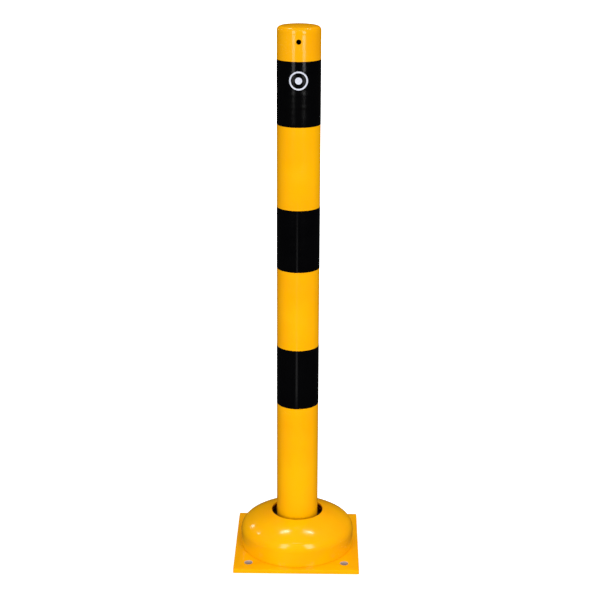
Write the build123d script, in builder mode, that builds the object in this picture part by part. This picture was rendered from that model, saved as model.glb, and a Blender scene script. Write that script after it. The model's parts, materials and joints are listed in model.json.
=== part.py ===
from build123d import *
import os
from math import atan2, cos, degrees, radians, sin, sqrt

# Self-righting steel safety bollard.
# A round post stands on a layered rubber spring, under a domed steel cover on a square base plate.
# It passes through the cover's opening with room to lean about ten degrees in any direction.
# Frame: origin at the centre of the base plate's underside, +Z up, the front is -Y. Millimetres.

# ---- post ----
total_height = 978.0
tube_diameter = 76.1
tube_wall = 2.9
cap_skirt = 4.0
cap_knuckle_radius = 7.5
cap_crown_radius = 240.0
head_hole_diameter = 8.5
head_hole_drop = 25.0

# ---- black bands and blank round label ----
band_film = 0.2
band_height = 112.0
band_gap = 146.0
band_head_length = 58.0
label_diameter = 32.0
label_ring_width = 3.6
label_dot_diameter = 14.0
label_drop = 32.0
label_film = 0.25

# ---- base plate ----
plate_size = 230.0
plate_thickness = 8.0
plate_corner_radius = 2.0
anchor_hole_diameter = 14.0
anchor_inset = 27.0

# ---- rubber spring ----
spring_plate_thickness = 6.0
rubber_thickness = 12.0
middle_plate_thickness = 3.0
rubber_inset = 2.0
middle_plate_inset = 2.0

# ---- post foot ----
flange_thickness = 6.0
flange_overhang = 22.0
flange_vent_diameter = 20.0
spring_plate_inset = 2.0
weld_leg = 4.0

# ---- cover ----
cover_margin = 10.0
cover_wall = 4.0
cover_shoulder_radius = 22.0
cover_shoulder_turn = 55.0
cover_crown_radius = 146.0
cover_headroom = 16.1
cover_rim_rounding = 1.2
post_gap = 9.45
cover_ring_width = 16.0
cover_ring_height = 12.0

# ---- screws and washers ----
screw_diameter = 8.0
screw_hole_clearance = 0.5
countersunk_head_diameter = 16.0
countersunk_recess = 0.3
countersink_clearance = 0.1
socket_size = 5.0
socket_depth = 2.5
hex_head_size = 13.0
hex_head_height = 5.3
washer_diameter = 16.0
washer_thickness = 1.6
screw_tip_gap = 0.8
cover_screw_count = 6
spring_screw_count = 4
spring_screw_circle = 80.0

# ---- worked out from the values above ----
tube_radius = tube_diameter / 2
screw_radius = screw_diameter / 2
screw_hole_radius = screw_radius + screw_hole_clearance
countersunk_head_radius = countersunk_head_diameter / 2
countersink_radius = countersunk_head_radius + countersunk_recess + countersink_clearance

lower_plate_z = plate_thickness
lower_rubber_z = lower_plate_z + spring_plate_thickness
middle_plate_z = lower_rubber_z + rubber_thickness
upper_rubber_z = middle_plate_z + middle_plate_thickness
upper_plate_z = upper_rubber_z + rubber_thickness
flange_z = upper_plate_z + spring_plate_thickness
flange_top_z = flange_z + flange_thickness
screw_top_z = flange_top_z + washer_thickness + hex_head_height

flange_radius = tube_radius + flange_overhang
spring_plate_radius = flange_radius - spring_plate_inset
rubber_radius = spring_plate_radius - rubber_inset
middle_plate_radius = spring_plate_radius - middle_plate_inset
flange_screw_radius = tube_radius + weld_leg + washer_diameter / 2

cover_radius = plate_size / 2 - cover_margin
cover_inner_radius = cover_radius - cover_wall
opening_radius = tube_radius + post_gap
rim_z = screw_top_z + cover_headroom
shoulder_x = cover_radius - cover_shoulder_radius
crown_step = cover_crown_radius - cover_shoulder_radius
crown_x = shoulder_x - crown_step * cos(radians(cover_shoulder_turn))
crown_rise = sqrt(cover_crown_radius**2 - (opening_radius - crown_x) ** 2)
shoulder_z = rim_z - crown_rise + crown_step * sin(radians(cover_shoulder_turn))
cover_screw_radius = cover_inner_radius - cover_ring_width / 2

cap_knuckle_x = tube_radius - cap_knuckle_radius
cap_crown_step = sqrt((cap_crown_radius - cap_knuckle_radius) ** 2 - cap_knuckle_x**2)
cap_crown_z = total_height - cap_crown_radius
cap_knuckle_z = cap_crown_z + cap_crown_step
cap_knuckle_turn = degrees(atan2(cap_crown_step, cap_knuckle_x))
tube_top_z = cap_knuckle_z - cap_skirt
first_band_top_z = total_height - band_head_length
band_radius = tube_radius + band_film
anchor_spacing = plate_size - 2 * anchor_inset

underside = Plane(origin=(0, 0, 0), x_dir=(1, 0, 0), z_dir=(0, 0, -1))


def write(part, name):
    part.label = name
    export_step(part, f"parts/{name}.step")


def disc(radius, bottom, thickness):
    """A round plate with its underside at the height called bottom."""
    with BuildPart() as plate:
        with BuildSketch(Plane.XY.offset(bottom)):
            Circle(radius)
        extrude(amount=thickness)
    return plate


def countersunk_screws(circle_radius, count, tip_z):
    """Socket screws put in from below, heads sunk into the base plate's underside."""
    head_height = countersunk_head_radius - screw_radius
    with BuildPart() as screw:
        with BuildSketch(Plane.XZ):
            with BuildLine():
                Polyline(
                    (0, countersunk_recess),
                    (countersunk_head_radius, countersunk_recess),
                    (screw_radius, countersunk_recess + head_height),
                    (screw_radius, tip_z),
                    (0, tip_z),
                    close=True,
                )
            make_face()
        revolve(axis=Axis.Z)
        with BuildSketch(Plane.XY.offset(countersunk_recess)):
            RegularPolygon(radius=socket_size / 2, side_count=6, major_radius=False)
        extrude(amount=socket_depth, mode=Mode.SUBTRACT)
    places = PolarLocations(circle_radius, count).locations
    return Compound(children=[screw.part.moved(place) for place in places])


def band(top_z):
    """A sleeve of black film round the tube."""
    with BuildPart() as sleeve:
        with BuildSketch(Plane.XY.offset(top_z - band_height)):
            Circle(band_radius)
            Circle(tube_radius, mode=Mode.SUBTRACT)
        extrude(amount=band_height)
    return sleeve


os.makedirs("parts", exist_ok=True)

# ---- base: everything that is bolted to the ground ----
with BuildPart() as base_plate:
    with BuildSketch():
        RectangleRounded(plate_size, plate_size, plate_corner_radius)
        with GridLocations(anchor_spacing, anchor_spacing, 2, 2):
            Circle(anchor_hole_diameter / 2, mode=Mode.SUBTRACT)
    extrude(amount=plate_thickness)
    for circle_radius, count in (
        (cover_screw_radius, cover_screw_count),
        (spring_screw_circle / 2, spring_screw_count),
    ):
        with Locations(underside):
            with PolarLocations(circle_radius, count):
                CounterSinkHole(screw_hole_radius, countersink_radius, counter_sink_angle=90)
write(base_plate.part, "base_plate")

with BuildPart() as cover:
    with BuildSketch(Plane.XZ) as cover_profile:
        with BuildLine():
            side = Line((cover_radius, plate_thickness), (cover_radius, shoulder_z))
            shoulder = JernArc(side @ 1, side % 1, cover_shoulder_radius, cover_shoulder_turn)
            TangentArc(shoulder @ 1, (opening_radius, rim_z), tangent=shoulder % 1)
            offset(amount=cover_wall, side=Side.LEFT)
        make_face()
        opening_corner = (Align.MIN, Align.MIN)
        Rectangle(opening_radius, total_height, align=opening_corner, mode=Mode.SUBTRACT)
        fillet(cover_profile.vertices().sort_by(Axis.Y)[-1], cover_rim_rounding)
    revolve(axis=Axis.Z)
write(cover.part, "cover")

with BuildPart() as cover_ring:
    with BuildSketch(Plane.XY.offset(plate_thickness)):
        Circle(cover_inner_radius)
        Circle(cover_inner_radius - cover_ring_width, mode=Mode.SUBTRACT)
        with PolarLocations(cover_screw_radius, cover_screw_count):
            Circle(screw_radius, mode=Mode.SUBTRACT)
    extrude(amount=cover_ring_height)
write(cover_ring.part, "cover_ring")

cover_screws = countersunk_screws(
    cover_screw_radius, cover_screw_count, plate_thickness + cover_ring_height - screw_tip_gap
)
write(cover_screws, "cover_screws")

spring_screws = countersunk_screws(
    spring_screw_circle / 2, spring_screw_count, lower_rubber_z - screw_tip_gap
)
write(spring_screws, "spring_screws")

# ---- layered spring: steel, rubber, steel, rubber, steel ----
with BuildPart() as lower_spring_plate:
    with BuildSketch(Plane.XY.offset(lower_plate_z)):
        Circle(spring_plate_radius)
        with PolarLocations(spring_screw_circle / 2, spring_screw_count):
            Circle(screw_radius, mode=Mode.SUBTRACT)
    extrude(amount=spring_plate_thickness)
write(lower_spring_plate.part, "lower_spring_plate")

lower_rubber = disc(rubber_radius, lower_rubber_z, rubber_thickness)
write(lower_rubber.part, "lower_rubber")

middle_spring_plate = disc(middle_plate_radius, middle_plate_z, middle_plate_thickness)
write(middle_spring_plate.part, "middle_spring_plate")

upper_rubber = disc(rubber_radius, upper_rubber_z, rubber_thickness)
write(upper_rubber.part, "upper_rubber")

with BuildPart() as upper_spring_plate:
    with BuildSketch(Plane.XY.offset(upper_plate_z)):
        Circle(spring_plate_radius)
        with PolarLocations(flange_screw_radius, spring_screw_count):
            Circle(screw_radius, mode=Mode.SUBTRACT)
    extrude(amount=spring_plate_thickness)
write(upper_spring_plate.part, "upper_spring_plate")

# ---- post: everything that leans ----
with BuildPart() as foot_flange:
    with BuildSketch(Plane.XY.offset(flange_z)):
        Circle(flange_radius)
        Circle(flange_vent_diameter / 2, mode=Mode.SUBTRACT)
        with PolarLocations(flange_screw_radius, spring_screw_count):
            Circle(screw_hole_radius, mode=Mode.SUBTRACT)
    extrude(amount=flange_thickness)
write(foot_flange.part, "foot_flange")

with BuildPart() as foot_weld:
    with BuildSketch(Plane.XZ):
        with BuildLine():
            Polyline(
                (tube_radius, flange_top_z),
                (tube_radius + weld_leg, flange_top_z),
                (tube_radius, flange_top_z + weld_leg),
                close=True,
            )
        make_face()
    revolve(axis=Axis.Z)
write(foot_weld.part, "foot_weld")

with BuildPart() as washer:
    with BuildSketch(Plane.XY.offset(flange_top_z)):
        Circle(washer_diameter / 2)
        Circle(screw_hole_radius, mode=Mode.SUBTRACT)
    extrude(amount=washer_thickness)

with BuildPart() as flange_screw:
    with BuildSketch(Plane.XY.offset(upper_plate_z + screw_tip_gap)):
        Circle(screw_radius)
    extrude(amount=flange_top_z + washer_thickness - upper_plate_z - screw_tip_gap)
    with BuildSketch(Plane.XY.offset(flange_top_z + washer_thickness)):
        RegularPolygon(radius=hex_head_size / 2, side_count=6, major_radius=False)
    extrude(amount=hex_head_height)

flange_screw_places = PolarLocations(flange_screw_radius, spring_screw_count).locations
flange_washers = Compound(children=[washer.part.moved(place) for place in flange_screw_places])
write(flange_washers, "flange_washers")
flange_screws = Compound(children=[flange_screw.part.moved(place) for place in flange_screw_places])
write(flange_screws, "flange_screws")

with BuildPart() as post_tube:
    with BuildSketch(Plane.XY.offset(flange_top_z)):
        Circle(tube_radius)
        Circle(tube_radius - tube_wall, mode=Mode.SUBTRACT)
    extrude(amount=tube_top_z - flange_top_z)
    with BuildSketch(Plane.XZ):
        with Locations((0, total_height - head_hole_drop)):
            Circle(head_hole_diameter / 2)
    extrude(amount=tube_diameter, mode=Mode.SUBTRACT)
write(post_tube.part, "post_tube")

with BuildPart() as post_cap:
    with BuildSketch(Plane.XZ):
        with BuildLine():
            skirt = Line((tube_radius, tube_top_z), (tube_radius, cap_knuckle_z))
            knuckle = JernArc(skirt @ 1, skirt % 1, cap_knuckle_radius, cap_knuckle_turn)
            TangentArc(knuckle @ 1, (0, total_height), tangent=knuckle % 1)
            offset(amount=tube_wall, side=Side.LEFT)
        make_face()
    revolve(axis=Axis.Z)
write(post_cap.part, "post_cap")

for number, name in enumerate(("band_top", "band_middle", "band_bottom")):
    sleeve = band(first_band_top_z - number * (band_height + band_gap))
    write(sleeve.part, name)

with BuildPart() as label:
    with BuildSketch(Plane.XZ):
        with Locations((0, first_band_top_z - label_drop)):
            Circle(label_diameter / 2)
            Circle(label_diameter / 2 - label_ring_width, mode=Mode.SUBTRACT)
            Circle(label_dot_diameter / 2)
    extrude(amount=tube_diameter)
    with BuildSketch():
        Circle(band_radius + label_film)
        Circle(band_radius, mode=Mode.SUBTRACT)
    extrude(amount=total_height, mode=Mode.INTERSECT)
write(label.part, "label")
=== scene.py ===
import json
from math import atan2, cos, pi, radians, sin, sqrt, tan

import bmesh
import bpy
from mathutils import Matrix, Vector
from mathutils.geometry import delaunay_2d_cdt


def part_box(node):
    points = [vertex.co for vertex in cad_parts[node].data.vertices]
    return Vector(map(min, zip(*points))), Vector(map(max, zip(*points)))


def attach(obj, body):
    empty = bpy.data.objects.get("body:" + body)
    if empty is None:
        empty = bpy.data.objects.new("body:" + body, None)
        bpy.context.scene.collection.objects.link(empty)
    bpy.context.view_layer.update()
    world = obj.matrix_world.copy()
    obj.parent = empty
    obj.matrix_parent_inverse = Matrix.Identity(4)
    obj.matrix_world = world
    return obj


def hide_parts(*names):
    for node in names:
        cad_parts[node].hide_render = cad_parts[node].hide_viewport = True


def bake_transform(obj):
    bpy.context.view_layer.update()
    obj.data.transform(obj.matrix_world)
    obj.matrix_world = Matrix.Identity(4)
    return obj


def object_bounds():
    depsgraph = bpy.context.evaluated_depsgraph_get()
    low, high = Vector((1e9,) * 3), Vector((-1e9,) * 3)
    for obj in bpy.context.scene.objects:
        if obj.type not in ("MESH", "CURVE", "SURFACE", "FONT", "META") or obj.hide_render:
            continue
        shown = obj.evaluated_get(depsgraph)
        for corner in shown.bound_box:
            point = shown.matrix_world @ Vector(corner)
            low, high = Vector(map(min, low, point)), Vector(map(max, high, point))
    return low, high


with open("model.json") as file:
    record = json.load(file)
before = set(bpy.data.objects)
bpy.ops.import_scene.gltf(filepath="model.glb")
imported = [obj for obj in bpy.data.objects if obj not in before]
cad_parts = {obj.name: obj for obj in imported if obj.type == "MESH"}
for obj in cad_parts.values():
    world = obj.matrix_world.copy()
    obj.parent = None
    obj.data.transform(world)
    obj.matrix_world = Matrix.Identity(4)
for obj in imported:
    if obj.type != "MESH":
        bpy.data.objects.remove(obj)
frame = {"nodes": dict(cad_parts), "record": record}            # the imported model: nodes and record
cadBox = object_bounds()
scene = bpy.context.scene
scene.view_settings.view_transform = "Standard"
mm = 0.001
tiny = 1e-7                  # points nearer than this are one
mounts = {mount["name"]: mount for mount in frame["record"]["mounts"]}
print("stage 1: frame loaded")


def radiusOf(node):  # a round CAD node's radius
    low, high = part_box(node)
    return (high.x - low.x) / 2


def heightsOf(node):  # a CAD node's lowest and highest z
    low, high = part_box(node)
    return low.z, high.z


tubeRadius = radiusOf("post_tube")
tubeBottom, capBottom = heightsOf("post_tube")
capTop = heightsOf("post_cap")[1]
plateBottom, plateTop = heightsOf("base_plate")


# nodes and materials

def linear(code):  # an sRGB hex colour as the linear one that a shader wants
    parts = [int(code[i:i + 2], 16) / 255 for i in (0, 2, 4)]
    return [p / 12.92 if p < 0.04045 else ((p + 0.055) / 1.055) ** 2.4 for p in parts] + [1.0]


def fillInputs(tree, node, inputs):  # an input takes a value, a socket, or a node for its first output
    for key, value in inputs.items():
        source = value.outputs[0] if hasattr(value, "outputs") else value
        if hasattr(source, "links"):
            tree.links.new(source, node.inputs[key])
        else:
            node.inputs[key].default_value = source


def addNode(tree, kind, inputs=None, **settings):  # a node with its settings, values and links
    made = tree.nodes.new(kind)
    for name, value in settings.items():
        setattr(made, name, value)
    fillInputs(tree, made, inputs or {})
    return made


def startMaterial(name):  # a new material with its shader and the piece's own coordinates
    material = bpy.data.materials.new(name)
    material.use_nodes = True
    tree = material.node_tree
    place = addNode(tree, "ShaderNodeTexCoord").outputs["Object"]
    return material, tree, tree.nodes["Principled BSDF"], place


noiseMiddle = 0.3, 0.7       # where most values of a noise lie


def makePowderCoat():
    # Gloss polyester powder coat in traffic yellow, sprayed and baked on blasted steel.
    # To the eye: even warm yellow, soft-edged highlights from the faint orange peel, hardly any wear.
    look = dict(
        colour="fcb300", deepColour="f8a600",       # full film and slightly thinner film
        drift=(110 * mm, 3.0), blend=(0.35, 0.7),   # colour drifts slowly over a hand's width
        haze=(24 * mm, 4.0), glossiest=0.11, dullest=0.17,
        peel=(3.2 * mm, 1.0), peelHeight=0.012 * mm,   # real peel is about 1.5 mm, and coarser here to show
        grit=(0.5 * mm, 1.0), gritHeight=0.0015 * mm,
        scuffSize=26 * mm, scuffStretch=9.0, scuffTilt=(0.3, 0.5, 0.2), scuffWidth=0.012,
        scuffColour="ffd45a", scuffStrength=0.35, worn=(60 * mm, 2.0), wornFrom=0.60, wornTo=0.72,
    )
    material, tree, shader, place = startMaterial("powderCoatYellow")
    drift, worn, haze, peel, grit = [   # each a noise of (size, detail)
        addNode(tree, "ShaderNodeTexNoise", {"Vector": place, "Scale": 1 / size, "Detail": detail})
        for size, detail in (look["drift"], look["worn"], look["haze"], look["peel"], look["grit"])]
    driftSpan = addNode(tree, "ShaderNodeMapRange", {0: drift, 1: look["blend"][0], 2: look["blend"][1]})
    tone = addNode(tree, "ShaderNodeMix", {
        0: driftSpan, 6: linear(look["colour"]), 7: linear(look["deepColour"])}, data_type="RGBA")

    # hair-thin scuffs from handling, only where a slow noise lets them show
    stretch = addNode(tree, "ShaderNodeMapping", {
        "Vector": place, "Rotation": look["scuffTilt"], "Scale": (1.0, 1.0, look["scuffStretch"])})
    hair = addNode(tree, "ShaderNodeTexVoronoi", {
        "Vector": stretch, "Scale": 1 / look["scuffSize"]}, feature="DISTANCE_TO_EDGE")
    hairLine = addNode(tree, "ShaderNodeMapRange", {
        0: hair, 1: 0.0, 2: look["scuffWidth"], 3: 1.0, 4: 0.0})
    wornSpan = addNode(tree, "ShaderNodeMapRange", {
        0: worn, 1: look["wornFrom"], 2: look["wornTo"], 3: 0.0, 4: look["scuffStrength"]})
    scuff = addNode(tree, "ShaderNodeMath", {0: hairLine, 1: wornSpan}, operation="MULTIPLY")
    scuffed = addNode(tree, "ShaderNodeMix", {
        0: scuff, 6: tone.outputs[2], 7: linear(look["scuffColour"])}, data_type="RGBA")

    # roughness wanders and rises in the scuffs
    hazeSpan = addNode(tree, "ShaderNodeMapRange", {
        0: haze, 1: noiseMiddle[0], 2: noiseMiddle[1], 3: look["glossiest"], 4: look["dullest"]})
    rough = addNode(tree, "ShaderNodeMath", {0: hazeSpan, 1: scuff}, operation="ADD")

    # orange peel with a little grit on top
    peelBump = addNode(tree, "ShaderNodeBump", {"Height": peel, "Distance": look["peelHeight"]})
    gritBump = addNode(tree, "ShaderNodeBump", {
        "Height": grit, "Distance": look["gritHeight"], "Normal": peelBump})
    fillInputs(tree, shader, {"Base Color": scuffed.outputs[2], "Roughness": rough, "Normal": gritBump})
    return material


def makeBlackFilm():
    # Calendered gloss vinyl film, wrapped round the coated tube.
    # To the eye: deep black with thin cool reflections, and the tube's peel just telegraphing through.
    look = dict(
        colour="010102", greyColour="050506", driftSize=70 * mm,
        peelSize=4.5 * mm, peelHeight=0.010 * mm,
        rubSpacing=5.0 * mm, rubLength=14.0,   # rub lines run round the post, as the film was squeegeed on
        rub=(0.35, 0.7), glossiest=0.10, dullest=0.18,
    )
    material, tree, shader, place = startMaterial("blackVinylFilm")
    drift = addNode(tree, "ShaderNodeTexNoise", {
        "Vector": place, "Scale": 1 / look["driftSize"], "Detail": 4.0})
    tone = addNode(tree, "ShaderNodeMix", {
        0: drift, 6: linear(look["colour"]), 7: linear(look["greyColour"])}, data_type="RGBA")
    stretch = addNode(tree, "ShaderNodeMapping", {"Vector": place, "Scale": (1.0, 1.0, look["rubLength"])})
    rub = addNode(tree, "ShaderNodeTexNoise", {
        "Vector": stretch, "Scale": 1 / (look["rubSpacing"] * look["rubLength"]), "Detail": 6.0})
    rubSpan = addNode(tree, "ShaderNodeMapRange", {
        0: rub, 1: look["rub"][0], 2: look["rub"][1], 3: look["glossiest"], 4: look["dullest"]})
    peel = addNode(tree, "ShaderNodeTexNoise", {
        "Vector": place, "Scale": 1 / look["peelSize"], "Detail": 1.0})
    bump = addNode(tree, "ShaderNodeBump", {"Height": peel, "Distance": look["peelHeight"]})
    fillInputs(tree, shader, {"Base Color": tone.outputs[2], "Roughness": rubSpan, "Normal": bump})
    return material


def makeGalvanised():
    # Hot-dip galvanised steel: pale grey spangle of flat crystals, each catching the light differently.
    look = dict(
        pale="a9adb0", dark="7f8488", spangleSize=7 * mm, bend=3 * mm, roughness=(0.34, 0.55),
        frostSize=1.2 * mm, frostHeight=0.03 * mm,
    )
    material, tree, shader, place = startMaterial("galvanisedSteel")
    bend = addNode(tree, "ShaderNodeTexNoise", {
        "Vector": place, "Scale": 1 / look["spangleSize"], "Detail": 3.0})
    bent = addNode(tree, "ShaderNodeVectorMath", {
        0: bend.outputs["Color"], 3: look["bend"]}, operation="SCALE")
    moved = addNode(tree, "ShaderNodeVectorMath", {0: place, 1: bent}, operation="ADD")
    spangle = addNode(tree, "ShaderNodeTexVoronoi", {"Vector": moved, "Scale": 1 / look["spangleSize"]})
    grain = addNode(tree, "ShaderNodeSeparateColor", {0: spangle.outputs["Color"]})
    tone = addNode(tree, "ShaderNodeMix", {
        0: grain, 6: linear(look["dark"]), 7: linear(look["pale"])}, data_type="RGBA")
    rough = addNode(tree, "ShaderNodeMapRange", {
        0: grain.outputs[1], 3: look["roughness"][0], 4: look["roughness"][1]})
    frost = addNode(tree, "ShaderNodeTexNoise", {
        "Vector": place, "Scale": 1 / look["frostSize"], "Detail": 5.0})
    bump = addNode(tree, "ShaderNodeBump", {"Height": frost, "Distance": look["frostHeight"]})
    fillInputs(tree, shader, {
        "Base Color": tone.outputs[2], "Roughness": rough, "Normal": bump, "Metallic": 1.0})
    return material


def makeDrilledSteel():
    # Freshly drilled mild steel in the anchor holes: pale warm grey, fine rings from the drill, soft sheen.
    look = dict(
        pale="dcc9be", worn="ad9486", patchSize=6 * mm, roughness=(0.38, 0.6), metallic=0.25,
        ringSpacing=0.8 * mm, ringScale=0.31, ringWobble=0.6, ringHeight=0.03 * mm,
    )
    material, tree, shader, place = startMaterial("drilledSteel")
    patch = addNode(tree, "ShaderNodeTexNoise", {
        "Vector": place, "Scale": 1 / look["patchSize"], "Detail": 4.0})
    tone = addNode(tree, "ShaderNodeMix", {
        0: patch, 6: linear(look["pale"]), 7: linear(look["worn"])}, data_type="RGBA")
    rings = addNode(tree, "ShaderNodeTexWave", {
        "Vector": place, "Scale": look["ringScale"] / look["ringSpacing"], "Distortion": look["ringWobble"],
    }, bands_direction="Z")
    rough = addNode(tree, "ShaderNodeMapRange", {
        0: rings.outputs["Fac"], 3: look["roughness"][0], 4: look["roughness"][1]})
    bump = addNode(tree, "ShaderNodeBump", {"Height": rings.outputs["Fac"], "Distance": look["ringHeight"]})
    fillInputs(tree, shader, {
        "Base Color": tone.outputs[2], "Roughness": rough, "Normal": bump,
        "Metallic": look["metallic"]})
    return material


def makeMottled(name, look):  # colour, roughness and relief each follow a noise of (size, detail)
    material, tree, shader, place = startMaterial(name)
    patch, haze, relief = [
        addNode(tree, "ShaderNodeTexNoise", {"Vector": place, "Scale": 1 / size, "Detail": detail})
        for size, detail in (look["patch"], look["haze"], look["relief"])]
    span = addNode(tree, "ShaderNodeMapRange", {0: patch, 1: look["blend"][0], 2: look["blend"][1]})
    tone = addNode(tree, "ShaderNodeMix", {
        0: span, 6: linear(look["colour"]), 7: linear(look["second"])}, data_type="RGBA")
    rough = addNode(tree, "ShaderNodeMapRange", {
        0: haze, 1: noiseMiddle[0], 2: noiseMiddle[1], 3: look["roughness"][0], 4: look["roughness"][1]})
    bump = addNode(tree, "ShaderNodeBump", {"Height": relief, "Distance": look["height"]})
    fillInputs(tree, shader, {
        "Base Color": tone.outputs[2], "Roughness": rough, "Normal": bump,
        "Metallic": look["metallic"]})
    return material


powderCoat = makePowderCoat()
blackFilm = makeBlackFilm()
galvanised = makeGalvanised()
drilledSteel = makeDrilledSteel()

# Screen-printed white on the black film: satin, slightly thin in places, so a little grey shows.
whitePrint = makeMottled("whitePrint", dict(
    colour="d6d9e6", second="b4b8c8", blend=(0.45, 0.75), patch=(3 * mm, 4.0), metallic=0.0,
    haze=(3 * mm, 4.0), roughness=(0.28, 0.42), relief=(3 * mm, 4.0), height=0.006 * mm))

# Bright zinc-plated and passivated fasteners: cool grey with a faint straw bloom and fine tool marks.
zincPlate = makeMottled("zincPlatedSteel", dict(
    colour="b4bac2", second="c2b99c", blend=(0.42, 0.68), patch=(9 * mm, 3.0), metallic=1.0,
    haze=(0.8 * mm, 4.0), roughness=(0.22, 0.38), relief=(0.8 * mm, 4.0), height=0.01 * mm))

# Compression-moulded natural rubber: matt black that greys slightly where it blooms.
rubber = makeMottled("mouldedRubber", dict(
    colour="17171a", second="2b2a2a", blend=(0.0, 1.0), patch=(14 * mm, 5.0), metallic=0.0,
    haze=(14 * mm, 5.0), roughness=(0.55, 0.75), relief=(0.9 * mm, 3.0), height=0.04 * mm))

# Uncoated inside of the drawn tube: dark mill scale with a brown cast, dull.
millSteel = makeMottled("millSteel", dict(
    colour="3a3634", second="4f3a2c", blend=(0.0, 1.0), patch=(18 * mm, 6.0), metallic=0.6,
    haze=(18 * mm, 6.0), roughness=(0.55, 0.8), relief=(1.0 * mm, 3.0), height=0.05 * mm))
print("stage 2: materials made")


# mesh helpers

quarterTurns = [radians(90 * k / 4) for k in range(5)]   # the angles across a rounded edge


def circle(radius, z, steps):  # points round the post's axis, the first at the front
    turns = [2 * pi * i / steps for i in range(steps)]
    return [(radius * sin(t), -radius * cos(t), z) for t in turns] if radius > tiny else [(0, 0, z)]


def arc(centreX, centreZ, radius, start, end, steps):  # profile points along an arc, angles in degrees
    turns = [radians(start + (end - start) * i / steps) for i in range(steps + 1)]
    return [(centreX + radius * cos(t), centreZ + radius * sin(t)) for t in turns]


def rounded(corners, steps=4):  # a closed outline from (x, z, radius) corners, each one turned into an arc
    outline = []
    for i, (x, z, radius) in enumerate(corners):
        here = Vector((x, z))
        back = (Vector(corners[i - 1][:2]) - here).normalized()
        ahead = (Vector(corners[(i + 1) % len(corners)][:2]) - here).normalized()
        if radius <= 0:
            outline.append((x, z))
            continue
        half = back.angle(ahead) / 2
        centre = here + (back + ahead).normalized() * radius / sin(half)
        first, last = here + back * radius / tan(half) - centre, here + ahead * radius / tan(half) - centre
        start = atan2(first.y, first.x)
        turn = (atan2(last.y, last.x) - start + pi) % (2 * pi) - pi
        for k in range(steps + 1):
            angle = start + turn * k / steps
            outline.append((centre.x + radius * cos(angle), centre.y + radius * sin(angle)))
    return outline


def skin(rings, closed=False):  # faces from ring to ring; a ring of one point is a pole
    verts, faces, starts = [], [], []
    for ring in rings:
        starts.append(len(verts))
        verts += ring
    for a in range(len(rings) if closed else len(rings) - 1):
        b = (a + 1) % len(rings)
        lower, upper = len(rings[a]), len(rings[b])
        for i in range(max(lower, upper)):
            corners = (starts[a] + i % lower, starts[a] + (i + 1) % lower,
                       starts[b] + (i + 1) % upper, starts[b] + i % upper)
            faces.append(list(dict.fromkeys(corners)))
    return verts, faces


def turned(profile, steps):  # rings round the post's axis, one for each (radius, z) of a profile
    return [circle(radius, z, steps) for radius, z in profile]


def finishMesh(name, mesh, crease):  # doubles merged, faces outwards, smooth but for sharp edges
    work = bmesh.new()
    work.from_mesh(mesh)
    bmesh.ops.delete(work, geom=[v for v in work.verts if not v.link_faces], context="VERTS")
    bmesh.ops.remove_doubles(work, verts=work.verts, dist=tiny)
    bmesh.ops.recalc_face_normals(work, faces=work.faces)
    work.to_mesh(mesh)
    work.free()
    mesh.polygons.foreach_set("use_smooth", [True] * len(mesh.polygons))
    mesh.set_sharp_from_angle(angle=radians(crease))
    piece = bpy.data.objects.new(name, mesh)
    scene.collection.objects.link(piece)
    return piece


def makePiece(name, shape, materials, faceSlots=None, crease=38):  # a piece from its vertices and faces
    mesh = bpy.data.meshes.new(name)
    mesh.from_pydata(shape[0], [], shape[1])
    for material in materials:
        mesh.materials.append(material)
    if faceSlots:
        mesh.polygons.foreach_set("material_index", faceSlots)
    return finishMesh(name, mesh, crease)


def startTree(name, sockets):  # an empty geometry node tree with its named inputs, as (name, kind) pairs
    tree = bpy.data.node_groups.new(name, "GeometryNodeTree")
    tree.interface.new_socket("Geometry", in_out="OUTPUT", socket_type="NodeSocketGeometry")
    for label, kind in sockets:
        tree.interface.new_socket(label, in_out="INPUT", socket_type="NodeSocket" + kind)
    return tree, {socket.name: socket for socket in addNode(tree, "NodeGroupInput").outputs}


def endTree(tree, geometry, finish):  # instances made real, then the finish, as every tree here ends
    real = addNode(tree, "GeometryNodeRealizeInstances", {0: geometry})
    finished = addNode(tree, "GeometryNodeSetMaterial", {"Geometry": real, "Material": finish})
    addNode(tree, "NodeGroupOutput", {0: finished})
    return tree


def grow(name, tree, values, crease=38):  # runs a geometry node tree and keeps its result as a plain mesh
    holder = bpy.data.objects.new(name + "Source", bpy.data.meshes.new(name + "Source"))
    scene.collection.objects.link(holder)
    modifier = holder.modifiers.new(tree.name, "NODES")
    modifier.node_group = tree
    for item in tree.interface.items_tree:
        if item.in_out == "INPUT":
            modifier[item.identifier] = values[item.name]
    bpy.context.view_layer.update()
    ready = holder.evaluated_get(bpy.context.evaluated_depsgraph_get())
    mesh = bpy.data.meshes.new_from_object(ready)
    bpy.data.objects.remove(holder)
    mesh.name = name
    return finishMesh(name, mesh, crease)


def finishPiece(piece, body, slot, *nodes):  # its body and the CAD nodes it stands for, which it hides; slot is not used
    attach(piece, body)
    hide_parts(*nodes)


# base plate

plate = dict(
    half=cadBox[1].x, cornerRadius=2 * mm, edgeRound=0.7 * mm,
    anchorRadius=mounts["anchor_holes"]["dims"]["hole_r_mm"] * mm,
    anchorSpacing=mounts["anchor_holes"]["dims"]["spacing_x_mm"] * mm,
    screwHole=4.5 * mm, countersink=8.4 * mm,
    coverScrews=(93 * mm, 6), springScrews=(40 * mm, 4),   # circle radius and count
    edgeSteps=6, steps=40,
)


def squareLoop(half, corner, z):  # a rounded square, anticlockwise from above
    corners = [(x * half, y * half, corner) for x, y in ((-1, -1), (1, -1), (1, 1), (-1, 1))]
    return [(x, y, z) for x, y in rounded(corners, plate["edgeSteps"])]


def circlePlaces(radius, count):
    return [(radius * cos(2 * pi * i / count), radius * sin(2 * pi * i / count)) for i in range(count)]


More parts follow.
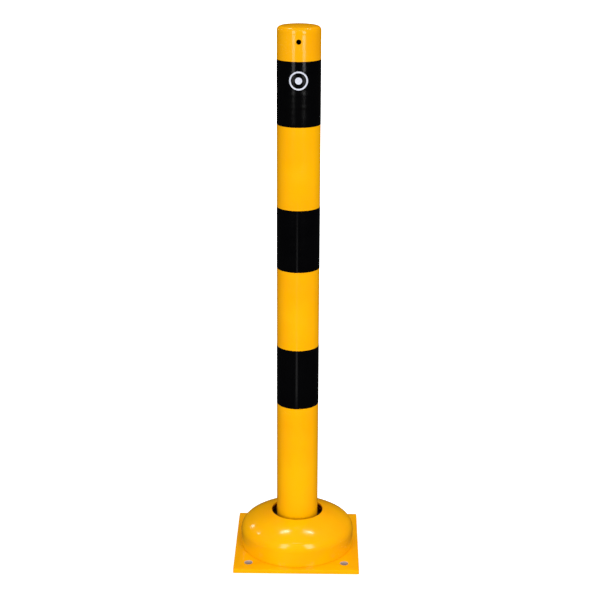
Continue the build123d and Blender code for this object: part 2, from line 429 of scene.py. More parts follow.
def filledFace(loops, holes):  # triangles round the holes, as indexes into the joined loops
    flat = [Vector(point[:2]) for loop in loops for point in loop]
    edges, start = [], 0
    for loop in loops:
        edges += [(start + i, start + (i + 1) % len(loop)) for i in range(len(loop))]
        start += len(loop)
    _, _, triangles, origins, _, _ = delaunay_2d_cdt(flat, edges, [], 0, tiny)
    kept = []
    for triangle in triangles:
        corners = [origins[v][0] for v in triangle]
        middle = sum((flat[c] for c in corners), Vector((0, 0))) / 3
        if all((middle - Vector(place)).length > radius for place, radius in holes):
            kept.append(corners)
    return kept


def makePlate():
    edge = plate["edgeRound"]
    half, corner, steps = plate["half"], plate["cornerRadius"], plate["steps"]
    outerRings = [(edge * (1 - sin(t)), plateTop - edge * (1 - cos(t))) for t in quarterTurns]
    outerRings += [(inset, plateTop + plateBottom - z) for inset, z in reversed(outerRings)]
    anchor = [(plate["anchorRadius"] + inset, z) for inset, z in outerRings]
    bore, sink = plate["screwHole"], plate["countersink"]
    screw = [(bore, plateTop), (bore, plateBottom + sink - bore), (sink, plateBottom)]
    spacing = plate["anchorSpacing"] / 2
    holes = [((x, y), anchor, 1) for x in (-spacing, spacing) for y in (-spacing, spacing)]
    for radius, count in (plate["coverScrews"], plate["springScrews"]):
        holes += [(place, screw, 0) for place in circlePlaces(radius, count)]
    verts, faces, slots = [], [], []
    tops, bottoms = [], []

    def addRings(rings, slot):
        shape = skin(rings)
        start = len(verts)
        verts.extend(shape[0])
        faces.extend([[start + v for v in face] for face in shape[1]])
        slots.extend([slot] * len(shape[1]))
        tops.append((start, rings[0]))
        bottoms.append((len(verts) - len(rings[-1]), rings[-1]))

    addRings([squareLoop(half - inset, corner - inset, z) for inset, z in outerRings], 0)
    for (x, y), profile, slot in holes:
        addRings([[(x + radius * cos(2 * pi * i / steps), y + radius * sin(2 * pi * i / steps), z)
                   for i in range(steps)] for radius, z in profile], slot)
    for ends, row in ((tops, 0), (bottoms, -1)):
        index = [start + i for start, loop in ends for i in range(len(loop))]
        sizes = [(place, profile[row][0]) for place, profile, _ in holes]
        for triangle in filledFace([loop for _, loop in ends], sizes):
            faces.append([index[c] for c in triangle])
            slots.append(0)
    return makePiece("basePlate", (verts, faces), [powderCoat, drilledSteel], slots, crease=50)


finishPiece(makePlate(), "base", "yellow_paint", "base_plate")


# domed cover

cover = dict(
    radius=radiusOf("cover"), foot=heightsOf("cover")[0], rim=heightsOf("cover")[1], wall=4 * mm,
    shoulderRadius=22 * mm, shoulderTurn=radians(55), crownRadius=146 * mm, opening=47.5 * mm,
    edgeRound=0.7 * mm, edgeSteps=4, sharpFrom=radians(50), rows=44, steps=192,
)


def makeCoverTree():
    # The profile is two arcs that run into each other, a tight shoulder and a wide crown, turned round the
    # post's axis. A grid gives the turn along x and the profile's row along y: up the outside from the foot
    # to the opening, then down the inside, one wall thickness in, and back to the first row.
    tree, known = startTree("turnedCover", (
        ("Radius", "Float"), ("Foot Height", "Float"), ("Rim Height", "Float"), ("Wall", "Float"),
        ("Shoulder Radius", "Float"), ("Shoulder Turn", "Float"), ("Crown Radius", "Float"),
        ("Opening", "Float"), ("Rows", "Int"), ("Steps", "Int"), ("Finish", "Material")))
    place = addNode(tree, "GeometryNodeInputPosition")
    known["angle"], known["across"] = addNode(tree, "ShaderNodeSeparateXYZ", {0: place}).outputs[:2]
    for name, operation, *sources in (
        ("turnsWide", "ADD", "Steps", 1.0), ("span", "MULTIPLY", "Rows", 2.0),
        ("rowsHigh", "ADD", "span", 1.0),
        ("shoulderX", "SUBTRACT", "Radius", "Shoulder Radius"),
        ("widen", "SUBTRACT", "Crown Radius", "Shoulder Radius"),
        ("turnCos", "COSINE", "Shoulder Turn"), ("turnSin", "SINE", "Shoulder Turn"),
        ("stepIn", "MULTIPLY", "widen", "turnCos"), ("crownX", "SUBTRACT", "shoulderX", "stepIn"),
        ("openReach", "SUBTRACT", "Opening", "crownX"), ("openSquare", "POWER", "openReach", 2.0),
        ("crownSquare", "POWER", "Crown Radius", 2.0),
        ("riseSquare", "SUBTRACT", "crownSquare", "openSquare"), ("rise", "SQRT", "riseSquare"),
        ("crownZ", "SUBTRACT", "Rim Height", "rise"),
        ("shoulderZ", "MULTIPLY_ADD", "widen", "turnSin", "crownZ"),
        ("halfRows", "SUBTRACT", "Rows", 0.5), ("lastRow", "SUBTRACT", "span", 1.0),
        ("topRow", "SUBTRACT", "Rows", 1.0), ("row", "ADD", "across", "Rows"),
        ("wrapped", "MODULO", "row", "span"), ("inside", "GREATER_THAN", "wrapped", "halfRows"),
        ("mirrored", "SUBTRACT", "lastRow", "wrapped"), ("swap", "SUBTRACT", "mirrored", "wrapped"),
        ("climb", "MULTIPLY_ADD", "inside", "swap", "wrapped"),
        ("inset", "MULTIPLY", "inside", "Wall"), ("tight", "SUBTRACT", "Shoulder Radius", "inset"),
        ("reach", "SUBTRACT", "Crown Radius", "inset"), ("openCos", "DIVIDE", "openReach", "reach"),
        ("end", "ARCCOSINE", "openCos"), ("lift", "SUBTRACT", "climb", 1.0),
        ("above", "MAXIMUM", "lift", 0.0), ("arcs", "SUBTRACT", "topRow", 1.0),
        ("share", "DIVIDE", "above", "arcs"), ("bend", "MULTIPLY", "share", "end"),
        ("crownBend", "MAXIMUM", "bend", "Shoulder Turn"),
        ("bendCos", "COSINE", "bend"), ("bendSin", "SINE", "bend"),
        ("crownCos", "COSINE", "crownBend"), ("crownSin", "SINE", "crownBend"),
        ("pastCos", "SUBTRACT", "crownCos", "turnCos"), ("pastSin", "SUBTRACT", "crownSin", "turnSin"),
        ("shoulderOut", "MULTIPLY_ADD", "tight", "bendCos", "shoulderX"),
        ("out", "MULTIPLY_ADD", "widen", "pastCos", "shoulderOut"),
        ("shoulderUp", "MULTIPLY_ADD", "tight", "bendSin", "shoulderZ"),
        ("up", "MULTIPLY_ADD", "widen", "pastSin", "shoulderUp"),
        ("offFoot", "GREATER_THAN", "climb", 0.5), ("overFoot", "SUBTRACT", "up", "Foot Height"),
        ("z", "MULTIPLY_ADD", "offFoot", "overFoot", "Foot Height"),
        ("angleSin", "SINE", "angle"), ("angleCos", "COSINE", "angle"),
        ("x", "MULTIPLY", "out", "angleSin"), ("y", "MULTIPLY", "out", "angleCos"),
    ):
        known[name] = addNode(tree, "ShaderNodeMath", {
            i: known.get(source, source) for i, source in enumerate(sources)}, operation=operation)
    grid = addNode(tree, "GeometryNodeMeshGrid", {
        "Size X": 2 * pi, "Size Y": known["span"],
        "Vertices X": known["turnsWide"], "Vertices Y": known["rowsHigh"]})
    point = addNode(tree, "ShaderNodeCombineXYZ", {0: known["x"], 1: known["y"], 2: known["z"]})
    bent = addNode(tree, "GeometryNodeSetPosition", {"Geometry": grid, "Position": point})
    closed = addNode(tree, "GeometryNodeMergeByDistance", {"Geometry": bent, "Distance": 0.01 * mm})
    return endTree(tree, closed, known["Finish"])


coverPiece = grow("domedCover", makeCoverTree(), {
    "Radius": cover["radius"], "Foot Height": cover["foot"], "Rim Height": cover["rim"],
    "Wall": cover["wall"], "Shoulder Radius": cover["shoulderRadius"], "Shoulder Turn": cover["shoulderTurn"],
    "Crown Radius": cover["crownRadius"], "Opening": cover["opening"], "Rows": cover["rows"],
    "Steps": cover["steps"], "Finish": powderCoat}, crease=60)
rimBevel = coverPiece.modifiers.new("roundedEdges", "BEVEL")
rimBevel.width, rimBevel.segments = cover["edgeRound"], cover["edgeSteps"]
rimBevel.limit_method, rimBevel.angle_limit = "ANGLE", cover["sharpFrom"]
finishPiece(coverPiece, "base", "yellow_paint", "cover")
print("stage 3: plate and cover made")


# post: the tube and its welded cap are one skin, with a real hole in the head

post = dict(
    radius=tubeRadius, wall=mounts["head_hole"]["dims"]["length_mm"] * mm,
    holeRadius=mounts["head_hole"]["dims"]["r_mm"] * mm, holeZ=mounts["head_hole"]["pos_m"][2],
    knuckleRadius=7.5 * mm, crownRadius=240 * mm,
    lip=0.6 * mm, seamDepth=0.10 * mm, seamHalf=0.9 * mm,   # the weld is ground flush and only just shows
    steps=128, patch=5,      # columns either side of the hole that its rings replace
    lowRows=14, knuckleSteps=10, crownSteps=8,
    seamProfile=((-1, 0), (-0.4, 0.6), (0, 1), (0.4, 0.6), (1, 0)),       # shares of its half width and depth
    outerShares=(0.3, 0.55, 0.78, 0.92), innerShares=(0.7, 0.35),         # rings from the square to the lip
)


def makePost():
    steps, patch = post["steps"], post["patch"]
    rise = post["radius"] * 2 * pi / steps
    holeRows = [post["holeZ"] + rise * k for k in range(-patch, patch + 1)]
    lowRows = [
        tubeBottom + (holeRows[0] - tubeBottom) * k / post["lowRows"] for k in range(post["lowRows"])]
    centreZ = capTop - post["crownRadius"]
    knuckleX = post["radius"] - post["knuckleRadius"]
    reach = sqrt((post["crownRadius"] - post["knuckleRadius"]) ** 2 - knuckleX ** 2)
    knuckleZ, knuckleTurn = centreZ + reach, atan2(reach, knuckleX) * 180 / pi

    def wallRows(inset):  # (radius, z) rows from the foot to the pole
        radius = post["radius"] - inset
        rows = [(radius, z) for z in lowRows + holeRows]
        if inset == 0:
            for offset, depth in post["seamProfile"]:
                rows.append((radius - depth * post["seamDepth"], capBottom + offset * post["seamHalf"]))
        rows += arc(knuckleX, knuckleZ, post["knuckleRadius"] - inset, 0, knuckleTurn, post["knuckleSteps"])
        rows += arc(0, centreZ, post["crownRadius"] - inset, knuckleTurn, 90, post["crownSteps"])[1:]
        rows[-1] = (0, rows[-1][1])
        return rows

    verts, faces, slots = [], [], []

    def joinLoops(lower, upper, slot):  # faces between two loops of vertex indexes
        for i in range(len(lower)):
            j = (i + 1) % len(lower)
            faces.append([lower[i], lower[j], upper[j], upper[i]])
            slots.append(slot)

    firstHoleRow = len(lowRows)
    openings = []
    for inset, slot in ((0, 0), (post["wall"], 1)):
        rings = turned(wallRows(inset), steps)
        start = len(verts)
        shape = skin(rings)
        patchFaces = set()
        for row in range(firstHoleRow, firstHoleRow + 2 * patch):
            patchFaces |= {row * steps + column % steps for column in range(-patch, patch)}
        verts.extend(shape[0])
        for number, face in enumerate(shape[1]):
            if number not in patchFaces:
                faces.append([start + v for v in face])
                slots.append(slot)
        last = 2 * patch
        border = [(0, c) for c in range(-patch, patch + 1)] + [(r, patch) for r in range(1, last + 1)]
        border += [(last, c) for c in range(patch - 1, -patch - 1, -1)]
        border += [(r, -patch) for r in range(last - 1, 0, -1)]
        openings.append([start + (firstHoleRow + r) * steps + c % steps for r, c in border])
    footInner = len(verts) - len(shape[0])
    joinLoops(range(steps), range(footInner, footInner + steps), 1)

    # rings from the square opening to a round lip, through the wall and out to the inner opening
    hole, lip, wall = post["holeRadius"], post["lip"], post["wall"]
    lipRings = [(hole + lip * (1 - sin(t)), lip * (1 - cos(t))) for t in quarterTurns]
    borders = [[(verts[v][0], verts[v][2] - post["holeZ"]) for v in loop] for loop in openings]
    plan = [(0, share, hole + lip, 0) for share in post["outerShares"]]
    plan += [(0, 1, radius, depth) for radius, depth in lipRings]
    plan += [(1, 1, radius, wall - depth) for radius, depth in reversed(lipRings)]
    plan += [(1, share, hole + lip, wall) for share in post["innerShares"]]
    previous = openings[0]
    for side, share, radius, depth in plan:
        ring = []
        for x, z in borders[side]:
            angle = atan2(z, x)
            px, pz = x + (radius * cos(angle) - x) * share, z + (radius * sin(angle) - z) * share
            ring.append(len(verts))
            verts.append((px, -sqrt((post["radius"] - depth) ** 2 - px ** 2), post["holeZ"] + pz))
        joinLoops(previous, ring, side)
        previous = ring
    joinLoops(previous, openings[1], 1)
    return makePiece("postShell", (verts, faces), [powderCoat, millSteel], slots, crease=50)


finishPiece(makePost(), "post", "yellow_paint", "post_tube", "post_cap")


# black bands: each is one strip of film whose end laps over its start at the back

band = dict(
    film=0.2 * mm, edgeRound=0.06 * mm, steps=160,
    lap=7 * mm, lapLift=0.99, climbFrom=0.035, climbTurn=0.03,   # the end climbs onto the start, in radians
)


def makeBand(name, node):
    low, high = heightsOf(node)
    film, edge = band["film"], band["edgeRound"]
    lapTurn = band["lap"] / tubeRadius
    start, length = pi - lapTurn / 2, 2 * pi + lapTurn
    rings = []
    for k in range(band["steps"] + 1):
        angle = start + length * k / band["steps"]
        over = min(1, max(0, (angle - start - 2 * pi + band["climbFrom"]) / band["climbTurn"]))
        base = tubeRadius + film * over * band["lapLift"]
        outline = [(base, low), (base + film - edge, low), (base + film, low + edge),
                   (base + film, high - edge), (base + film - edge, high), (base, high)]
        rings.append([(r * sin(angle), -r * cos(angle), z) for r, z in outline])
    verts, faces = skin(rings)
    size = len(rings[0])
    faces += [list(range(size)), list(range(len(verts) - size, len(verts)))]
    return makePiece(name, (verts, faces), [blackFilm])


for name, node in (("bandTop", "band_top"), ("bandMiddle", "band_middle"), ("bandBottom", "band_bottom")):
    finishPiece(makeBand(name, node), "post", "black_film", node)


# blank round label: a white ring and dot with no sign on it

label = dict(film=0.1 * mm, edgeRound=0.05 * mm, ringWidth=2.8 * mm, dotRadius=6 * mm, steps=96, rows=4)


def makeLabel():
    low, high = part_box("label")
    centre, outer = (low.z + high.z) / 2, (high.z - low.z) / 2
    film, edge, base = label["film"], label["edgeRound"], tubeRadius + band["film"]
    inner, shares = outer - label["ringWidth"], [k / label["rows"] for k in range(1, label["rows"])]
    ringPlan = [(inner, 0), (inner, film - edge), (inner + edge, film)]
    ringPlan += [(inner + (outer - inner) * share, film) for share in shares]
    ringPlan += [(outer - edge, film), (outer, film - edge), (outer, 0)]
    ringPlan += [(inner + (outer - inner) * share, 0) for share in reversed(shares)]
    dot = label["dotRadius"]
    dotPlan = [(dot * share, 0) for share in [0] + shares + [1]]
    dotPlan += [(dot, film - edge), (dot - edge, film)]
    dotPlan += [(dot * share, film) for share in shares[::-1] + [0]]
    verts, faces = [], []
    for plan, closed in ((ringPlan, True), (dotPlan, False)):
        rings = []
        for radius, lift in plan:
            flat = circle(radius, 0, label["steps"])
            rings.append([(x, -sqrt((base + lift) ** 2 - x ** 2), centre + y) for x, y, _ in flat])
        shape = skin(rings, closed)
        faces += [[len(verts) + v for v in face] for face in shape[1]]
        verts += shape[0]
    return makePiece("blankLabel", (verts, faces), [whitePrint])


finishPiece(makeLabel(), "post", "white_print", "label")
print("stage 4: post, bands and label made")


# rubber spring: two discs

spring = dict(bulge=0.9 * mm, partingLine=0.35 * mm, rows=14, steps=120)


def makeRubberDisc(name, node):
    low, high = heightsOf(node)
    radius, rows = radiusOf(node), spring["rows"]
    profile = [(0, low)]
    for k in range(rows + 1):
        share = k / rows
        parting = spring["partingLine"] if k == rows // 2 else 0   # the mould's parting line stands proud
        hollow = spring["bulge"] * (2 * share - 1) ** 4
        profile.append((radius - spring["partingLine"] - hollow + parting, low + (high - low) * share))
    profile.append((0, high))
    piece = makePiece(name, skin(turned(profile, spring["steps"])), [rubber], crease=50)
    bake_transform(piece)
    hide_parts(node)


makeRubberDisc("lowerRubber", "lower_rubber")
makeRubberDisc("upperRubber", "upper_rubber")


# steel plates that stay as the CAD has them, with broken edges

brokenEdge = dict(width=0.35 * mm, segments=2, sharpFrom=radians(40), weldWithin=1e-6)
for node in ("lower_spring_plate", "middle_spring_plate", "upper_spring_plate", "foot_flange", "cover_ring"):
    part = frame["nodes"][node]
    part.data.materials.clear()
    part.data.materials.append(galvanised)
    weld = part.modifiers.new("weld", "WELD")
    weld.merge_threshold = brokenEdge["weldWithin"]
    bevel = part.modifiers.new("brokenEdge", "BEVEL")
    bevel.width, bevel.segments = brokenEdge["width"], brokenEdge["segments"]
    bevel.limit_method, bevel.angle_limit = "ANGLE", brokenEdge["sharpFrom"]


# screws and washers: one part, set round a circle by geometry nodes

def hexRadius(turn, flats):  # distance from the axis to a hexagon's side
    return flats / 2 / cos((turn + pi / 6) % (pi / 3) - pi / 6)


def hexRing(flats, z, steps, drop=0.0, flatRadius=0.0):  # a hexagon, its corners lowered by a chamfer
    ring = []
    for i in range(steps):
        turn = 2 * pi * i / steps
        reach = hexRadius(turn, flats)
        ring.append((reach * sin(turn), -reach * cos(turn), z - drop * max(0, reach - flatRadius)))
    return ring


def makeRingTree():
    tree, given = startTree("ringOfParts", (
        ("Part", "Object"), ("Count", "Int"), ("Circle Radius", "Float"), ("Turn Seed", "Int"),
        ("Finish", "Material")))
    points = addNode(tree, "GeometryNodeMeshCircle", {
        "Vertices": given["Count"], "Radius": given["Circle Radius"]})
    part = addNode(tree, "GeometryNodeObjectInfo", {"Object": given["Part"]})
    turn = addNode(tree, "FunctionNodeRandomValue", {
        2: 0.0, 3: 2 * pi, "Seed": given["Turn Seed"]}, data_type="FLOAT")
    euler = addNode(tree, "ShaderNodeCombineXYZ", {2: turn.outputs[1]})
    rotation = addNode(tree, "FunctionNodeEulerToRotation", {0: euler})
    placed = addNode(tree, "GeometryNodeInstanceOnPoints", {
        "Points": points, "Instance": part.outputs["Geometry"], "Rotation": rotation})
    return endTree(tree, placed, given["Finish"])


screws = dict(
    thread=4 * mm, tipChamfer=0.8 * mm, steps=48, flangeCircle=(50.05 * mm, 4),   # circle radius and count
    flats=13 * mm, washerFace=0.35 * mm, faceShare=0.475, chamferSlope=0.577,
    washerRadius=8 * mm, washerHole=4.3 * mm, washerEdge=0.3 * mm, holeEdge=0.1 * mm,
    headRadius=8 * mm, headSink=0.3 * mm, headRim=0.35 * mm, rimRound=0.2 * mm,
    socket=5 * mm, socketDepth=2.5 * mm, socketTip=0.9 * mm, socketFlare=0.5 * mm, flareDepth=0.25 * mm,
)


def hexScrew():  # head up, from its tip to the top of the head
    low, high = heightsOf("flange_screws")
    seat = heightsOf("flange_washers")[1]
    thread, steps, flats = screws["thread"], screws["steps"], screws["flats"]
    face, chamfer = screws["washerFace"], screws["tipChamfer"]
    flat = screws["faceShare"] * flats
    return [
        circle(0, low, steps), circle(thread - chamfer, low, steps), circle(thread, low + chamfer, steps),
        circle(thread, seat, steps), circle(flat, seat, steps), circle(flat, seat + face, steps),
        hexRing(flats, seat + face, steps), hexRing(flats, high, steps, screws["chamferSlope"], flat),
        circle(flat, high, steps), circle(flat / 2, high, steps), circle(0, high, steps),
    ]


def sunkScrew(node):  # head down, its socket open to the ground
    top = heightsOf(node)[1]
    thread, head, steps = screws["thread"], screws["headRadius"], screws["steps"]
    sink, socket, chamfer = screws["headSink"], screws["socket"], screws["tipChamfer"]
    rim, floorZ = screws["headRim"], sink + screws["socketDepth"]
    return [
        circle(0, floorZ + screws["socketTip"], steps), hexRing(socket, floorZ, steps),
        hexRing(socket, sink + screws["flareDepth"], steps),
        hexRing(socket + screws["socketFlare"], sink, steps),
        circle(head - screws["rimRound"], sink, steps), circle(head, sink + rim / 2, steps),
        circle(head, sink + rim, steps), circle(thread, sink + rim + head - thread, steps),
        circle(thread, top - chamfer, steps), circle(thread - chamfer, top, steps), circle(0, top, steps),
    ]


def makeRingOf(name, node, rings, radius, count, seed, body="base", closed=False):
    part = makePiece(name + "Part", skin(rings, closed), [zincPlate])
    values = {"Part": part, "Count": count, "Circle Radius": radius, "Turn Seed": seed, "Finish": zincPlate}
    piece = grow(name, ringTree, values)
    bpy.data.objects.remove(part)
    finishPiece(piece, body, "zinc_fasteners", node)


ringTree = makeRingTree()
washerLow, washerHigh = heightsOf("flange_washers")
washerOutline = rounded([
    (screws["washerHole"], washerLow, screws["holeEdge"]),
    (screws["washerRadius"], washerLow, screws["washerEdge"]),
    (screws["washerRadius"], washerHigh, screws["washerEdge"]),
    (screws["washerHole"], washerHigh, screws["holeEdge"])], 3)
washerRings = turned(washerOutline, screws["steps"])
makeRingOf("flangeScrews", "flange_screws", hexScrew(), *screws["flangeCircle"], seed=3, body="post")
makeRingOf("flangeWashers", "flange_washers", washerRings, *screws["flangeCircle"], seed=5, body="post",
           closed=True)
makeRingOf("coverScrews", "cover_screws", sunkScrew("cover_screws"), *plate["coverScrews"], seed=7)
makeRingOf("springScrews", "spring_screws", sunkScrew("spring_screws"), *plate["springScrews"], seed=11)
print("stage 5: spring, screws and washers made")


# weld at the post's foot: a rippled bead that geometry nodes lay round the tube

bead = dict(
    fatness=3.0 * mm, sunkIn=0.9 * mm, ripples=62, rippleHeight=0.28 * mm, stepsPerRipple=8.0, roundSteps=20,
    wander=0.25 * mm, wanderSize=9 * mm, wanderMiddle=0.6, seed=4.0,
)


def makeBeadTree():
    tree, known = startTree("weldBead", (
        ("Tube Radius", "Float"), ("Seat Height", "Float"), ("Fatness", "Float"), ("Sunk In", "Float"),
        ("Ripples", "Int"), ("Ripple Height", "Float"), ("Wander", "Float"), ("Seed", "Float"),
        ("Finish", "Material")))
    place = addNode(tree, "GeometryNodeInputPosition")
    known["x"], known["y"], known["z"] = addNode(tree, "ShaderNodeSeparateXYZ", {0: place}).outputs
    known["noise"] = addNode(tree, "ShaderNodeTexNoise", {
        "Vector": place, "W": known["Seed"], "Scale": 1 / bead["wanderSize"], "Detail": 2.0,
    }, noise_dimensions="4D")
    level = addNode(tree, "ShaderNodeVectorMath", {0: place, 1: (1.0, 1.0, 0.0)}, operation="MULTIPLY")
    known["reach"] = addNode(tree, "ShaderNodeVectorMath", {0: level}, operation="LENGTH").outputs["Value"]
    for name, operation, *sources in (
        ("pathRadius", "ADD", "Tube Radius", "Sunk In"), ("pathHeight", "ADD", "Seat Height", "Sunk In"),
        ("fineness", "MULTIPLY", "Ripples", bead["stepsPerRipple"]),
        ("turn", "ARCTAN2", "y", "x"), ("wave", "MULTIPLY", "turn", "Ripples"),
        ("halfWave", "MULTIPLY", "wave", 0.5), ("sine", "SINE", "halfWave"), ("ripple", "ABSOLUTE", "sine"),
        ("height", "MULTIPLY", "ripple", "Ripple Height"),
        ("centred", "SUBTRACT", "noise", bead["wanderMiddle"]), ("wander", "MULTIPLY", "centred", "Wander"),
        ("swell", "ADD", "height", "wander"),
        ("kept", "MAXIMUM", "reach", "Tube Radius"), ("seated", "MAXIMUM", "z", "Seat Height"),
    ):
        known[name] = addNode(tree, "ShaderNodeMath", {
            i: known.get(source, source) for i, source in enumerate(sources)}, operation=operation)
    path = addNode(tree, "GeometryNodeCurvePrimitiveCircle", {
        "Resolution": known["fineness"], "Radius": known["pathRadius"]})
    lift = addNode(tree, "ShaderNodeCombineXYZ", {2: known["pathHeight"]})
    raised = addNode(tree, "GeometryNodeTransform", {"Geometry": path, "Translation": lift})
    section = addNode(tree, "GeometryNodeCurvePrimitiveCircle", {
        "Resolution": bead["roundSteps"], "Radius": known["Fatness"]})
    tube = addNode(tree, "GeometryNodeCurveToMesh", {"Curve": raised, "Profile Curve": section})
    normal = addNode(tree, "GeometryNodeInputNormal")
    push = addNode(tree, "ShaderNodeVectorMath", {0: normal, "Scale": known["swell"]}, operation="SCALE")
    rippled = addNode(tree, "GeometryNodeSetPosition", {"Geometry": tube, "Offset": push})

    # flattened where it meets the tube and the flange
    way = addNode(tree, "ShaderNodeVectorMath", {0: level}, operation="NORMALIZE")
    out = addNode(tree, "ShaderNodeVectorMath", {0: way, "Scale": known["kept"]}, operation="SCALE")
    outParts = addNode(tree, "ShaderNodeSeparateXYZ", {0: out}).outputs
    target = addNode(tree, "ShaderNodeCombineXYZ", {0: outParts[0], 1: outParts[1], 2: known["seated"]})
    flattened = addNode(tree, "GeometryNodeSetPosition", {"Geometry": rippled, "Position": target})
    return endTree(tree, flattened, known["Finish"])


beadPiece = grow("footWeld", makeBeadTree(), {
    "Tube Radius": tubeRadius, "Seat Height": tubeBottom, "Fatness": bead["fatness"],
    "Sunk In": bead["sunkIn"], "Ripples": bead["ripples"], "Ripple Height": bead["rippleHeight"],
    "Wander": bead["wander"], "Seed": bead["seed"], "Finish": galvanised})
finishPiece(beadPiece, "post", "plate_steel", "foot_weld")
print("stage 6: weld made")


# camera

view = dict(
    place=(0.0361, -2.4657, 1.2922), pan=-0.756, pitch=18.065, roll=0.251,   # angles in degrees
    lens=86.73, sensor=36.0, seesFrom=0.05, seesTo=100.0,
)
cameraData = bpy.data.cameras.new("camera")
cameraData.lens, cameraData.sensor_width, cameraData.sensor_fit = view["lens"], view["sensor"], "HORIZONTAL"
cameraData.clip_start, cameraData.clip_end = view["seesFrom"], view["seesTo"]
camera = bpy.data.objects.new("camera", cameraData)
scene.collection.objects.link(camera)
camera.matrix_world = (
    Matrix.Translation(view["place"]) @ Matrix.Rotation(radians(-view["pan"]), 4, "Z")
    @ Matrix.Rotation(radians(90 - view["pitch"]), 4, "X") @ Matrix.Rotation(radians(view["roll"]), 4, "Z"))
scene.camera = camera


# studio: pale floor, two tall soft boxes at the front, small lamps overhead and behind, even fill

studio = dict(
    floorHalf=30.0, floorColour="f2f2f0", floorGlow=(0.55, 1.3), glowReach=(0.35, 1.4),
    bounce=0.46, fill=(0.43, 0.80), fillTop=0.8,     # the fill grows from the horizon up to that height
    mirrored=0.012, backdrop=1.3,                    # what the paint mirrors, and what the camera sees
)
lamps = [
    # name, place, aim, width, height, watts, spread in degrees, seen in reflections
    ("keyLeft", (-0.91, -1.78, 1.41), (0, 0, 0.55), 0.55, 1.8, 13.2, 180, True),
    ("keyRight", (0.91, -1.78, 1.41), (0, 0, 0.55), 0.55, 1.8, 15.4, 180, True),
    ("overheadLeft", (-0.50, 0.38, 2.2), (-0.50, 0.38, 0), 0.36, 0.10, 2.6, 180, True),
    ("overheadRight", (0.49, 0.37, 2.2), (0.49, 0.37, 0), 0.36, 0.10, 2.6, 180, True),
    ("frontBar", (0.03, -0.70, 2.2), (0.03, -0.70, 0), 0.60, 0.05, 1.0, 180, True),
    ("lowFill", (0.0, -1.0, 0.22), (0, 0, 0.20), 1.0, 0.3, 4.3, 180, False),
    ("topFill", (0.0, 0.8, 1.75), (0, 0, 0.97), 0.2, 0.2, 0.08, 24, False),
    ("rightFill", (0.8, 0.35, 0.8), (0.1, 0, 0), 0.4, 0.4, 2.0, 180, False),
    ("backLampHigh", (-1.64, 0.84, 1.78), (0, 0, 0), 0.14, 0.14, 0.6, 180, True),
    ("backLampLow", (-1.58, 1.51, 1.31), (0, 0, 0), 0.14, 0.14, 0.6, 180, True),
]
card = dict(near=(-0.065, -0.78), far=(-0.22, -2.55), lift=0.003, width=0.15, watts=0.36)


def addLamp(name, width, height, watts, spread=180):  # an oblong lamp that the camera doesn't see
    lampData = bpy.data.lights.new(name, "AREA")
    lampData.shape, lampData.size, lampData.size_y = "RECTANGLE", width, height
    lampData.energy, lampData.spread = watts, radians(spread)
    lamp = bpy.data.objects.new(name, lampData)
    scene.collection.objects.link(lamp)
    lamp.visible_camera = False
    return lamp


for name, place, aim, width, height, watts, spread, mirrored in lamps:
    lamp = addLamp(name, width, height, watts, spread)
    lamp.location = place
    lamp.rotation_euler = (Vector(aim) - Vector(place)).to_track_quat("-Z", "Y").to_euler()
    lamp.visible_glossy = lamp.data.cycles.use_multiple_importance_sampling = mirrored

# a pale strip on the floor that shows only in reflections
nearEnd, farEnd = Vector((*card["near"], card["lift"])), Vector((*card["far"], card["lift"]))
cardLamp = addLamp("floorCard", card["width"], (farEnd - nearEnd).length, card["watts"])
cardLamp.matrix_world = Matrix.Translation((nearEnd + farEnd) / 2) @ Matrix.Rotation(
    atan2(farEnd.y - nearEnd.y, farEnd.x - nearEnd.x) - pi / 2, 4, "Z") @ Matrix.Rotation(pi, 4, "Y")
cardLamp.visible_diffuse = False


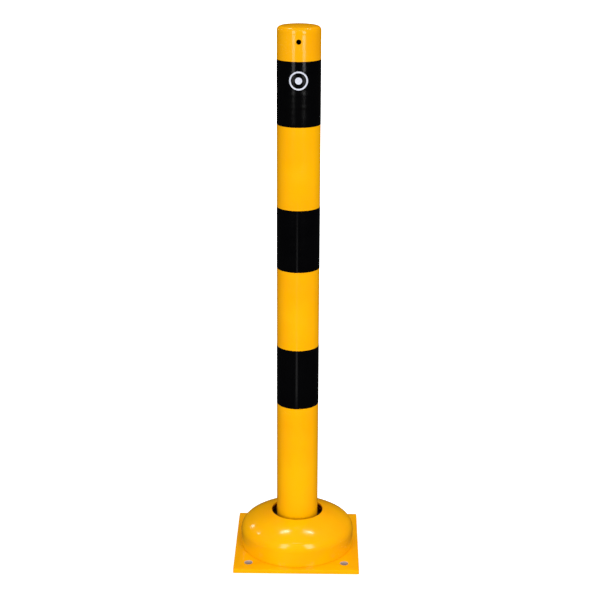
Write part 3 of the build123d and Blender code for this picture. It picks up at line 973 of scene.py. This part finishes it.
def makeFloor():
    half = studio["floorHalf"]
    mesh = bpy.data.meshes.new("floor")
    corners = [(x * half, y * half, 0) for x, y in ((-1, -1), (1, -1), (1, 1), (-1, 1))]
    mesh.from_pydata(corners, [], [range(4)])
    material = bpy.data.materials.new("paleFloor")
    material.use_nodes = True
    tree = material.node_tree
    tree.nodes.clear()
    place = addNode(tree, "ShaderNodeTexCoord").outputs["Object"]
    distance = addNode(tree, "ShaderNodeVectorMath", {0: place}, operation="LENGTH")
    glow = addNode(tree, "ShaderNodeMapRange", {
        0: distance.outputs["Value"], 1: studio["glowReach"][0], 2: studio["glowReach"][1],
        3: studio["floorGlow"][0], 4: studio["floorGlow"][1]}, interpolation_type="SMOOTHSTEP")
    paper = addNode(tree, "ShaderNodeBsdfDiffuse", {0: linear(studio["floorColour"])})
    lit = addNode(tree, "ShaderNodeEmission", {"Strength": glow})
    seen = addNode(tree, "ShaderNodeAddShader", {0: paper, 1: lit})
    path = addNode(tree, "ShaderNodeLightPath")
    bounceLevel = addNode(tree, "ShaderNodeMapRange", {
        0: path.outputs["Is Glossy Ray"], 3: studio["bounce"], 4: studio["mirrored"]})
    bounce = addNode(tree, "ShaderNodeEmission", {"Strength": bounceLevel})
    both = addNode(tree, "ShaderNodeMixShader", {0: path.outputs["Is Camera Ray"], 1: bounce, 2: seen})
    clear = addNode(tree, "ShaderNodeBsdfTransparent")
    facing = addNode(tree, "ShaderNodeNewGeometry")
    oneSided = addNode(tree, "ShaderNodeMixShader", {0: facing.outputs["Backfacing"], 1: both, 2: clear})
    addNode(tree, "ShaderNodeOutputMaterial", {0: oneSided})
    material.cycles.emission_sampling = "NONE"
    mesh.materials.append(material)
    floor = bpy.data.objects.new("floor", mesh)
    scene.collection.objects.link(floor)


makeFloor()

world = bpy.data.worlds.new("studio")
scene.world = world
world.use_nodes = True
world.cycles.sampling_method = "NONE"
tree = world.node_tree
tree.nodes.clear()
direction = addNode(tree, "ShaderNodeTexCoord").outputs["Generated"]
upward = addNode(tree, "ShaderNodeSeparateXYZ", {0: direction}).outputs[2]
fill = addNode(tree, "ShaderNodeMapRange", {
    0: upward, 1: 0.0, 2: studio["fillTop"], 3: studio["fill"][0], 4: studio["fill"][1]})
path = addNode(tree, "ShaderNodeLightPath")
level = addNode(tree, "ShaderNodeMix", {0: path.outputs["Is Glossy Ray"], 2: fill, 3: studio["mirrored"]})
fillLight = addNode(tree, "ShaderNodeBackground", {"Strength": level})
white = addNode(tree, "ShaderNodeBackground", {"Strength": studio["backdrop"]})
mixed = addNode(tree, "ShaderNodeMixShader", {0: path.outputs["Is Camera Ray"], 1: fillLight, 2: white})
addNode(tree, "ShaderNodeOutputWorld", {0: mixed})
print("stage 7: camera, floor and lights made")
